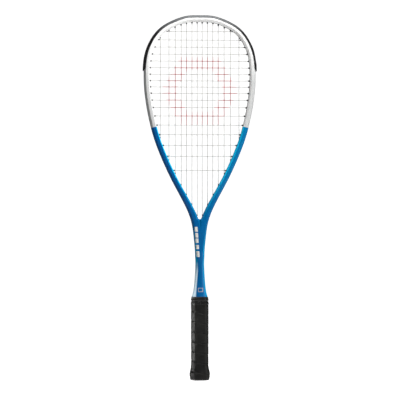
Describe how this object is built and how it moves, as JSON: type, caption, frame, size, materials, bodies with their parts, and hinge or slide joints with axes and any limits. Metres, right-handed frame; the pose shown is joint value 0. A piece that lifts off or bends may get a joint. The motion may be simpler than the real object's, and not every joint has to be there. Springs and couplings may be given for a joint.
{
  "type": "squash racket",
  "caption": "Strung squash racket with a teardrop hoop, open throat, slim shaft and spiral-wrapped handle.",
  "frame": {"origin": "centre of the flat end of the butt", "axes": "+Z along the handle towards the crown of the hoop, X across the string bed, front face towards -Y"},
  "size_m": [0.2148, 0.0334, 0.686],
  "materials": {
    "frame_paint": "gloss",
    "guard_nylon": "satin",
    "strip_nylon": "matte",
    "string": "gloss",
    "pallet_foam": "matte",
    "cap_plastic": "satin",
    "badge": "gloss",
    "staple_steel": "satin",
    "grip": "matte",
    "tape": "satin",
    "collar_rubber": "satin"
  },
  "bodies": {
    "root": {"frame": "frame_paint", "bumper_guard": "guard_nylon", "side_grommet_strip_left": "strip_nylon", "side_grommet_strip_right": "strip_nylon", "throat_grommet_strip_left": "strip_nylon", "throat_grommet_strip_right": "strip_nylon", "main_string": "string", "cross_string": "string", "pallet_front": "pallet_foam", "pallet_back": "pallet_foam", "butt_cap": "cap_plastic", "butt_badge": "badge", "butt_cap_staples": "staple_steel", "grip_wrap": "grip", "finishing_tape": "tape", "grip_collar": "collar_rubber"}
  },
  "joints": []
}
